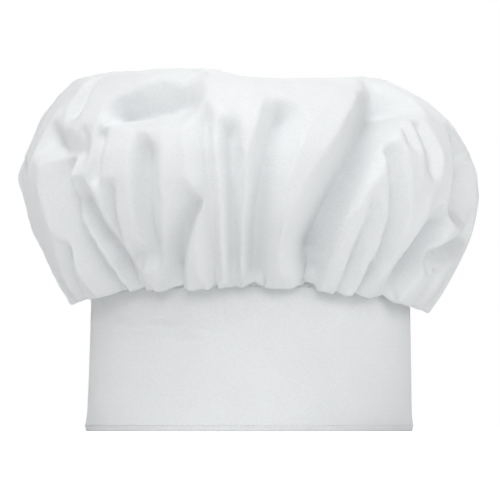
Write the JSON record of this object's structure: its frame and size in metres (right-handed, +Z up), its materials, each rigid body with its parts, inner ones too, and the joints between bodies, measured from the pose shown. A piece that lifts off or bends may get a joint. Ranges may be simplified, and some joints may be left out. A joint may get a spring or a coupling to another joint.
{
  "type": "chef toque",
  "caption": "White cotton chef's hat: a soft gathered crown on a stiffened headband with a hook-and-loop closure tab at the back.",
  "frame": {"origin": "centre of the head opening, in the plane of the headband's bottom edge", "axes": "+Z up along the head opening's axis, -Y the front of the hat, +Y the closure at the back"},
  "size_m": [0.266, 0.266, 0.206],
  "materials": {
    "crown_cloth": "matt white cotton, fine plain weave, softly creased",
    "band_cloth": "matt white cotton, fine plain weave, pressed flat",
    "interlining": "non-woven interlining",
    "thread": "white polyester sewing thread",
    "hook": "white nylon hook tape",
    "loop": "white nylon loop tape, napped",
    "label": "blank satin-woven label"
  },
  "bodies": {
    "band": {"band_outer": "band_cloth", "band_lining": "band_cloth", "band_stiffener": "interlining", "gathered_neck": "crown_cloth", "gathering_thread": "thread", "top_edge_stitching": "thread", "hem_stitching": "thread", "underlap_end_stitching": "thread", "loop_tape": "loop", "loop_tape_stitching": "thread", "care_label": "label"},
    "closure_tab": {"tab_outer": "band_cloth", "tab_lining": "band_cloth", "tab_stiffener": "interlining", "tab_edge_stitching": "thread", "hook_tape": "hook", "hook_tape_stitching": "thread"},
    "crown": {"crown": "crown_cloth"}
  },
  "joints": [
    {"name": "closure_open", "type": "hinge", "parent": "band", "child": "closure_tab", "pos_m": [0.03495, 0.08704, 0.04], "axis": [0, 0, -1], "range_deg": [0, 75]},
    {"name": "crown_lean", "type": "hinge", "parent": "band", "child": "crown", "pos_m": [0, 0, 0.08], "axis": [0, 1, 0], "range_deg": [-12, 12], "stiffness_Nm_per_rad": 0.12}
  ]
}
